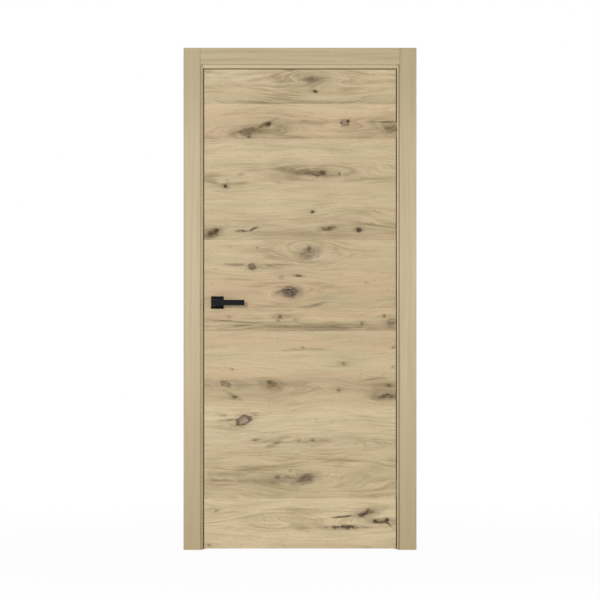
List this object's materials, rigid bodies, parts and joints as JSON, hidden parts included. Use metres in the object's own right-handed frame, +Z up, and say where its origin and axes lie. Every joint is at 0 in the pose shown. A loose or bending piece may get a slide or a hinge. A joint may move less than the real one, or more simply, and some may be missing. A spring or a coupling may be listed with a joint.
{
  "type": "flush interior door with frame",
  "caption": "Flush knotty-oak interior door leaf in a cased wooden frame, with concealed hinges and a square black lever handle",
  "frame": {"origin": "centre of the hinge jamb's foot, on the floor", "axes": "+Z up; +X from the latch side to the hinge side; +Y through the doorway, away from the side that the leaf opens to"},
  "size_m": [0.972, 0.1575, 2.095],
  "materials": {
    "oak_face": "matt lacquered knotty oak veneer",
    "oak_casing": "matt lacquered oak veneer",
    "oak_jamb": "matt lacquered oak veneer",
    "oak_edge": "matt lacquered oak lipping",
    "softwood": "bare timber",
    "black_coat": "black powder coat",
    "satin_steel": "satin",
    "satin_zinc": "satin zinc casting",
    "black_plastic": "moulded",
    "rubber_seal": "extruded, matt"
  },
  "bodies": {
    "frame": {"hinge_jamb": "oak_jamb", "latch_jamb": "oak_jamb", "head_jamb": "oak_jamb", "hinge_stop": "oak_jamb", "latch_stop": "oak_jamb", "head_stop": "oak_jamb", "hinge_seal": "rubber_seal", "latch_seal": "rubber_seal", "head_seal": "rubber_seal", "front_hinge_casing": "oak_casing", "front_latch_casing": "oak_casing", "front_head_casing": "oak_casing", "rear_hinge_casing": "oak_casing", "rear_latch_casing": "oak_casing", "rear_head_casing": "oak_casing", "strike_plate": "satin_steel", "strike_dust_box": "black_plastic", "upper_hinge_frame_half": "satin_zinc", "lower_hinge_frame_half": "satin_zinc"},
    "links": {"upper_hinge_links": "satin_steel", "lower_hinge_links": "satin_steel"},
    "leaf": {"upper_hinge_leaf_half": "satin_zinc", "lower_hinge_leaf_half": "satin_zinc", "front_face": "oak_face", "rear_face": "oak_face", "hinge_stile": "softwood", "latch_stile": "softwood", "top_rail": "softwood", "bottom_rail": "softwood", "leaf_infill": "softwood", "hinge_edge_lipping": "oak_edge", "latch_edge_lipping": "oak_edge", "top_edge_lipping": "oak_edge", "bottom_edge_lipping": "oak_edge", "lock_case": "satin_steel", "lock_faceplate": "satin_steel", "latch_bolt": "black_plastic", "front_rosette": "black_coat", "rear_rosette": "black_coat"},
    "handle": {"front_lever": "black_coat", "rear_lever": "black_coat", "spindle": "satin_steel"}
  },
  "joints": [
    {"name": "leaf_swing", "type": "hinge", "parent": "frame", "child": "leaf", "pos_m": [-0.021, -0.0425, 1], "axis": [0, 0, 1], "range_deg": [0, 110]},
    {"name": "link_swing", "type": "hinge", "parent": "frame", "child": "links", "pos_m": [-0.021, -0.0425, 1], "axis": [0, 0, 1], "range_deg": [0, 55]},
    {"name": "lever_turn", "type": "hinge", "parent": "leaf", "child": "handle", "pos_m": [-0.768, -0.02, 1.032], "axis": [0, 1, 0], "range_deg": [0, 40], "stiffness_Nm_per_rad": 1, "springref_deg": -57.3}
  ],
  "couplings": [
    {"joint": "link_swing", "follows": "leaf_swing", "ratio": 0.5}
  ]
}
